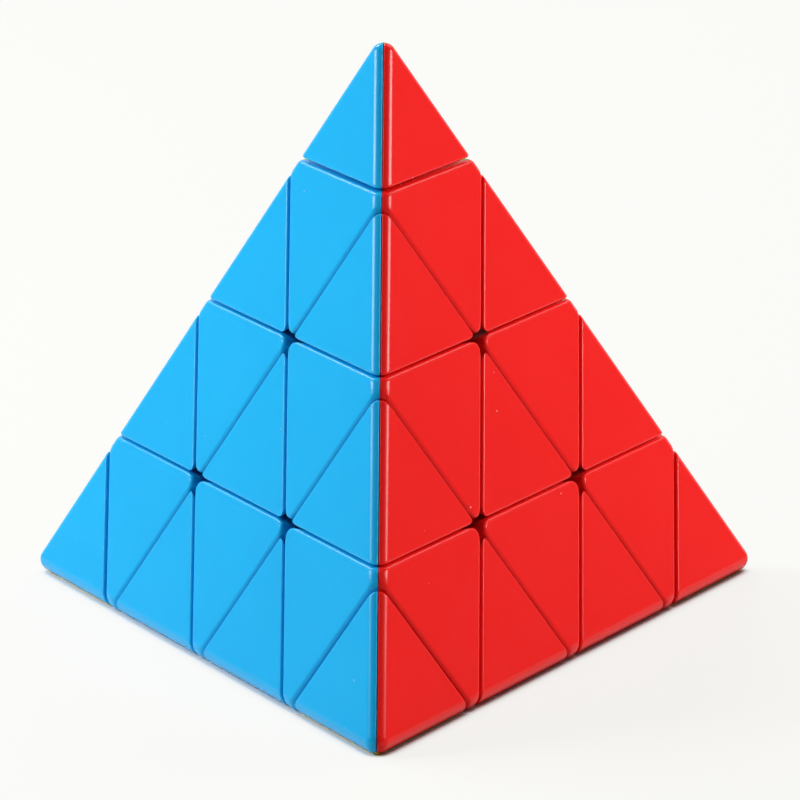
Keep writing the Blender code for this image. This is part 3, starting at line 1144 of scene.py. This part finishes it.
@dataclass
class Centres(PieceSet):
    """The four face centres, each one moulding with its sliding tab."""

    def shell(self) -> bpy.types.Mesh:
        """Shape of the centre of the face opposite the right corner.

        Returns:
            The centre's mesh.
        """
        size = self.layout
        solid = Solid.pyramid(size)
        for corner in CORNERS[:3]:
            solid.keep(corner.axis, low=size.cut_deep + size.seam_half)
        solid.keep(-Corner.RIGHT.axis, low=size.tab_inner + size.gap)
        widths = dict(self.roundings)
        widths[frozenset((Surface.CUT,))] = size.corner_round * math.sqrt(2.0)
        mesh = solid.rounded("centre_shell", widths, self.soft_segments)
        with Bench(mesh) as bench:
            bench.combine(self.tab(CORNERS[:3], ()).mesh("tab"), "UNION")
            bench.combine(Solid.ball(size.tab_inner).mesh("ball"), "DIFFERENCE")
            for corner in CORNERS[:3]:
                bench.combine(self.pocket(corner), "DIFFERENCE")
            return self.finish_mesh(bench.baked())

    def build(self) -> None:
        """Place the four centres."""
        mesh = self.shell()
        for colour in FaceColour:
            facing = [corner for corner in CORNERS if corner is not colour.value]
            pair = (facing[0], facing[1])
            if ordered(*pair)[3] is not colour.value:
                pair = (facing[1], facing[0])
            body = "base" if colour is FaceColour.YELLOW else "upper_block"
            name = f"centre_{colour.word}_tile"
            self.place(name, mesh, symmetry(*pair), colour, body, f"centre_{colour.word}")


@dataclass
class Mechanism:
    """The core, hubs, spindles and sprung screws inside, kept as they are and dressed."""

    plastic_kinds: tuple[str, ...] = ("core", "tip_spindle", "axial_hub", "axial_cap")
    steel_kinds: tuple[str, ...] = ("screw", "washer", "spring")

    def dress(self) -> None:
        """Give every inner node its finish."""
        plastic = CORE_FINISH.material()
        steel = STEEL_FINISH.material()
        for name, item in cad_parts.items():
            for kinds, material in ((self.plastic_kinds, plastic), (self.steel_kinds, steel)):
                if name.startswith(kinds):
                    item.data.materials.clear()
                    item.data.materials.append(material)
                    log.info("%s dressed in %s", name, material.name)


@dataclass(frozen=True)
class Lamp:
    """One round soft light, placed by where it stands as seen from the top of the object.

    Azimuth 0 is the camera's side and positive is to the right, in degrees. Level is the
    brightness there of a white surface that faces the lamp, and spread is how wide it looks.
    A lamp that isn't on_floor lights everything but the floor, as if a flag shaded it.
    """

    name: str
    azimuth: float
    elevation: float
    level: float
    spread: float
    distance: float
    on_floor: bool = True

    def hang(self, aim: Vector) -> None:
        """Put the lamp in the scene.

        Args:
            aim: point that it faces.
        """
        half = math.radians(self.spread) / 2.0
        light = bpy.data.lights.new(self.name, "AREA")
        light.shape = "DISK"
        light.size = 2.0 * self.distance * math.tan(half)
        light.energy = self.level * (math.pi * self.distance / math.cos(half)) ** 2
        item = bpy.data.objects.new(self.name, light)
        turn = Euler((math.radians(90.0 - self.elevation), 0.0, math.radians(self.azimuth)))
        item.rotation_euler = turn
        item.location = aim + turn.to_matrix() @ Vector((0.0, 0.0, self.distance))
        item.visible_camera = False
        bpy.context.scene.collection.objects.link(item)
        if not self.on_floor:
            flag = bpy.data.collections.new(f"{self.name}_flag")
            flag.objects.link(bpy.data.objects["floor"])
            flag.collection_objects[0].light_linking.link_state = "EXCLUDE"
            item.light_linking.receiver_collection = flag


@dataclass
class Studio:
    """Pale floor, soft light and the camera at the photograph's angle."""

    floor_radius: float = 30.0
    floor_segments: int = 96
    floor_drop: float = 0.00003
    camera_place: tuple[float, float, float] = (0.025362, -0.86847, 0.265455)
    camera_right: tuple[float, float, float] = (0.99965428, 0.02509294, -0.00785314)
    camera_up: tuple[float, float, float] = (0.00102159, 0.26138366, 0.96523445)
    lens: float = 318.2
    sensor: float = 36.0
    far: float = 100.0
    world_front: float = 0.12
    world_back: float = 0.8
    world_turn: tuple[float, float] = (0.4, 0.9)
    lamps: tuple[Lamp, ...] = (
        Lamp("left_box", -93.0, 25.0, 0.74, 21.0, 0.5),
        Lamp("back_left_box", -144.0, 40.0, 0.42, 22.0, 1.0),
        Lamp("right_box", 90.0, 25.0, 0.87, 20.0, 0.5, on_floor=False),
        Lamp("back_right_box", 144.0, 40.0, 0.12, 22.0, 1.0),
    )

    def floor(self) -> None:
        """Lay the floor."""
        body = bmesh.new()
        bmesh.ops.create_circle(body, cap_ends=True, radius=self.floor_radius, segments=self.floor_segments)
        mesh = bpy.data.meshes.new("floor")
        body.to_mesh(mesh)
        body.free()
        mesh.materials.append(PaleFloor().material())
        item = bpy.data.objects.new("floor", mesh)
        item.location = (0.0, 0.0, -self.floor_drop)
        bpy.context.scene.collection.objects.link(item)

    def light(self) -> None:
        """Set the lamps and a world that is brighter behind the object than in front."""
        for lamp in self.lamps:
            lamp.hang(Vector((0.0, 0.0, LAYOUT.face + LAYOUT.apex)))
        scene = bpy.context.scene
        world = bpy.data.worlds.new("studio")
        world.use_nodes = True
        nodes = world.node_tree.nodes
        links = world.node_tree.links
        place = nodes.new("ShaderNodeTexCoord")
        split = nodes.new("ShaderNodeSeparateXYZ")
        links.new(place.outputs["Generated"], split.inputs["Vector"])
        level = nodes.new("ShaderNodeMapRange")
        level.interpolation_type = "SMOOTHSTEP"
        level.inputs["From Min"].default_value = self.world_turn[0]
        level.inputs["From Max"].default_value = self.world_turn[1]
        level.inputs["To Min"].default_value = self.world_front
        level.inputs["To Max"].default_value = self.world_back
        links.new(split.outputs["Y"], level.inputs["Value"])
        fill = nodes["Background"]
        fill.inputs["Color"].default_value = (1.0, 1.0, 1.0, 1.0)
        links.new(level.outputs["Result"], fill.inputs["Strength"])
        scene.world = world
        scene.view_settings.view_transform = "Standard"

    def camera(self) -> None:
        """Set the camera at the photograph's angle."""
        right = Vector(self.camera_right)
        up = Vector(self.camera_up)
        turn = Matrix((right, up, right.cross(up))).transposed()
        camera = bpy.data.cameras.new("camera")
        camera.lens = self.lens
        camera.sensor_width = self.sensor
        camera.clip_end = self.far
        item = bpy.data.objects.new("camera", camera)
        item.rotation_mode = "QUATERNION"
        item.rotation_quaternion = turn.to_quaternion()
        item.location = self.camera_place
        bpy.context.scene.collection.objects.link(item)
        bpy.context.scene.camera = item


def main() -> None:
    """Build the puzzle's pieces in order and set the studio."""
    logging.basicConfig(level=logging.INFO, format="%(message)s")
    finishes = {colour: finish.material() for colour, finish in PLASTICS.items()}
    for kind in (Tips, Axials, Wings, MidEdges, Centres):
        kind(finishes=finishes).build()
    Mechanism().dress()
    studio = Studio()
    studio.floor()
    studio.light()
    studio.camera()


if __name__ == "__main__":
    main()
